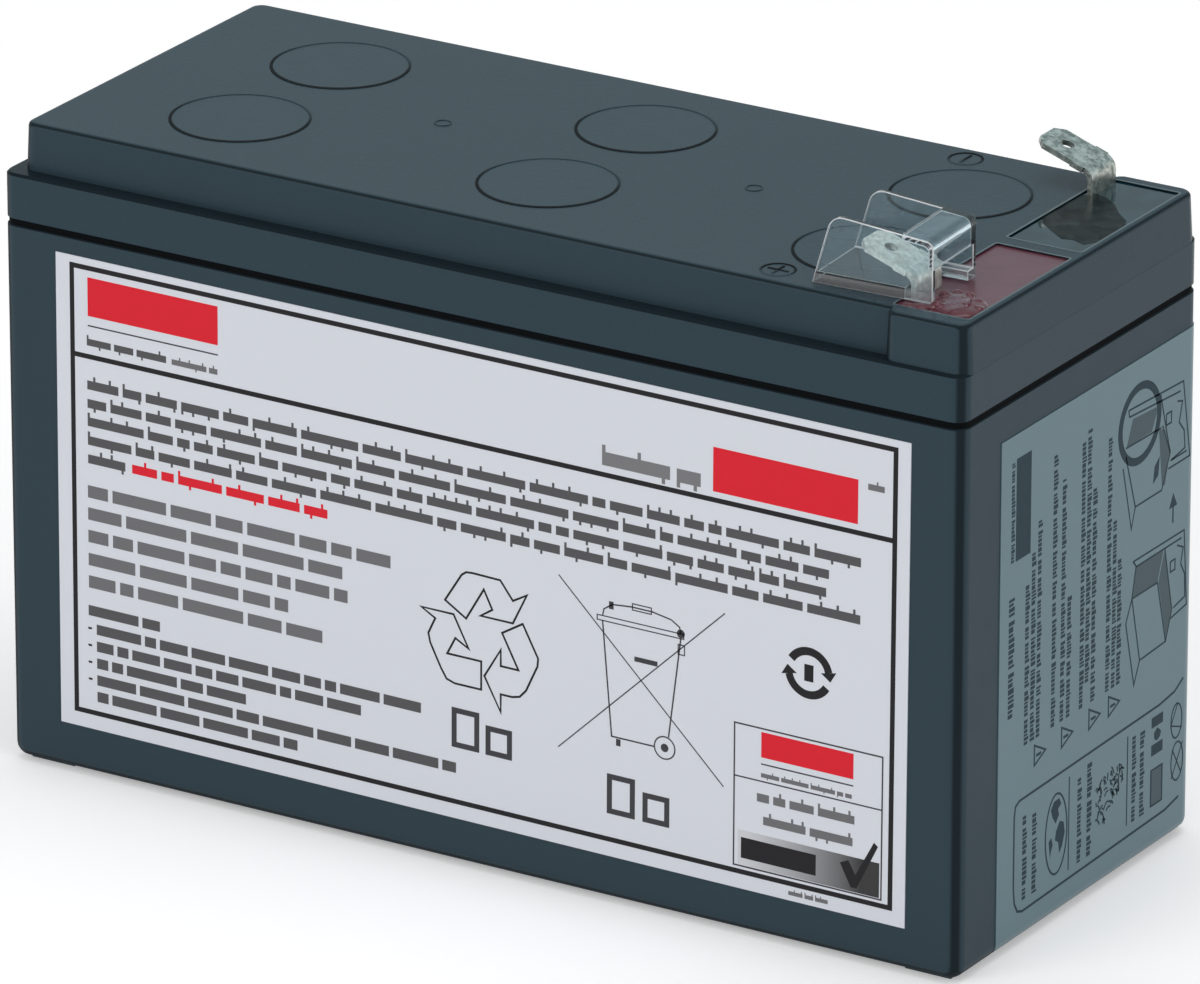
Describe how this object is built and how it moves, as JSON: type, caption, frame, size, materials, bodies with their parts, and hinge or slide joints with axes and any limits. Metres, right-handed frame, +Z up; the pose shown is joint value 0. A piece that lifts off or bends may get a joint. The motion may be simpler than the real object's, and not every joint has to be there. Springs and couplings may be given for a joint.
{
  "type": "ups battery cartridge",
  "caption": "Sealed lead-acid block battery with end terminals in resin-filled wells, a clear guard round the positive tab, welded vent discs and a printed front label.",
  "frame": {"origin": "centre of the footprint, on the plane of the base pads", "axes": "+X along the length towards the terminals, +Y towards the back, with the printed label and the positive tab on the -Y side, +Z up"},
  "size_m": [0.1511, 0.0643, 0.1027],
  "materials": {
    "case": "moulded dark grey-black ABS, fine satin grain",
    "lid": "moulded dark grey-black ABS, satin, shiny at the edges",
    "joint_resin": "black epoxy, set",
    "vent_disc": "moulded ABS, satin, welded down",
    "guard": "clear moulded plastic, glossy",
    "label": "white printed adhesive film, satin",
    "film": "thin grey-blue adhesive film, glossy",
    "red_resin": "red epoxy, poured, dull sheen",
    "clear_resin": "clear epoxy over black, poured, glossy",
    "tab": "tin-plated brass strip, dull",
    "lead": "cast lead, dull grey",
    "positive_plate": "lead grid with brown paste, cast lead strap",
    "negative_plate": "lead grid with grey paste, cast lead strap",
    "glass_mat": "white absorbent glass mat",
    "cap_rubber": "black rubber, dull"
  },
  "bodies": {
    "root": {"container": "case", "cover": "lid", "joint_resin": "joint_resin", "terminal_guard": "guard", "front_label": "label", "end_film": "film", "positive_seal_resin": "red_resin", "negative_seal_resin": "clear_resin", "positive_terminal": "tab", "negative_terminal": "tab", "positive_post": "lead", "negative_post": "lead", "vent_disc_1": "vent_disc", "valve_cap_1": "cap_rubber", "positive_plate_group_1": "positive_plate", "negative_plate_group_1": "negative_plate", "separator_mat_1": "glass_mat", "vent_disc_2": "vent_disc", "valve_cap_2": "cap_rubber", "positive_plate_group_2": "positive_plate", "negative_plate_group_2": "negative_plate", "separator_mat_2": "glass_mat", "vent_disc_3": "vent_disc", "valve_cap_3": "cap_rubber", "positive_plate_group_3": "positive_plate", "negative_plate_group_3": "negative_plate", "separator_mat_3": "glass_mat", "vent_disc_4": "vent_disc", "valve_cap_4": "cap_rubber", "positive_plate_group_4": "positive_plate", "negative_plate_group_4": "negative_plate", "separator_mat_4": "glass_mat", "vent_disc_5": "vent_disc", "valve_cap_5": "cap_rubber", "positive_plate_group_5": "positive_plate", "negative_plate_group_5": "negative_plate", "separator_mat_5": "glass_mat", "vent_disc_6": "vent_disc", "valve_cap_6": "cap_rubber", "positive_plate_group_6": "positive_plate", "negative_plate_group_6": "negative_plate", "separator_mat_6": "glass_mat", "intercell_link_1": "lead", "intercell_link_2": "lead", "intercell_link_3": "lead", "intercell_link_4": "lead", "intercell_link_5": "lead"}
  },
  "joints": []
}
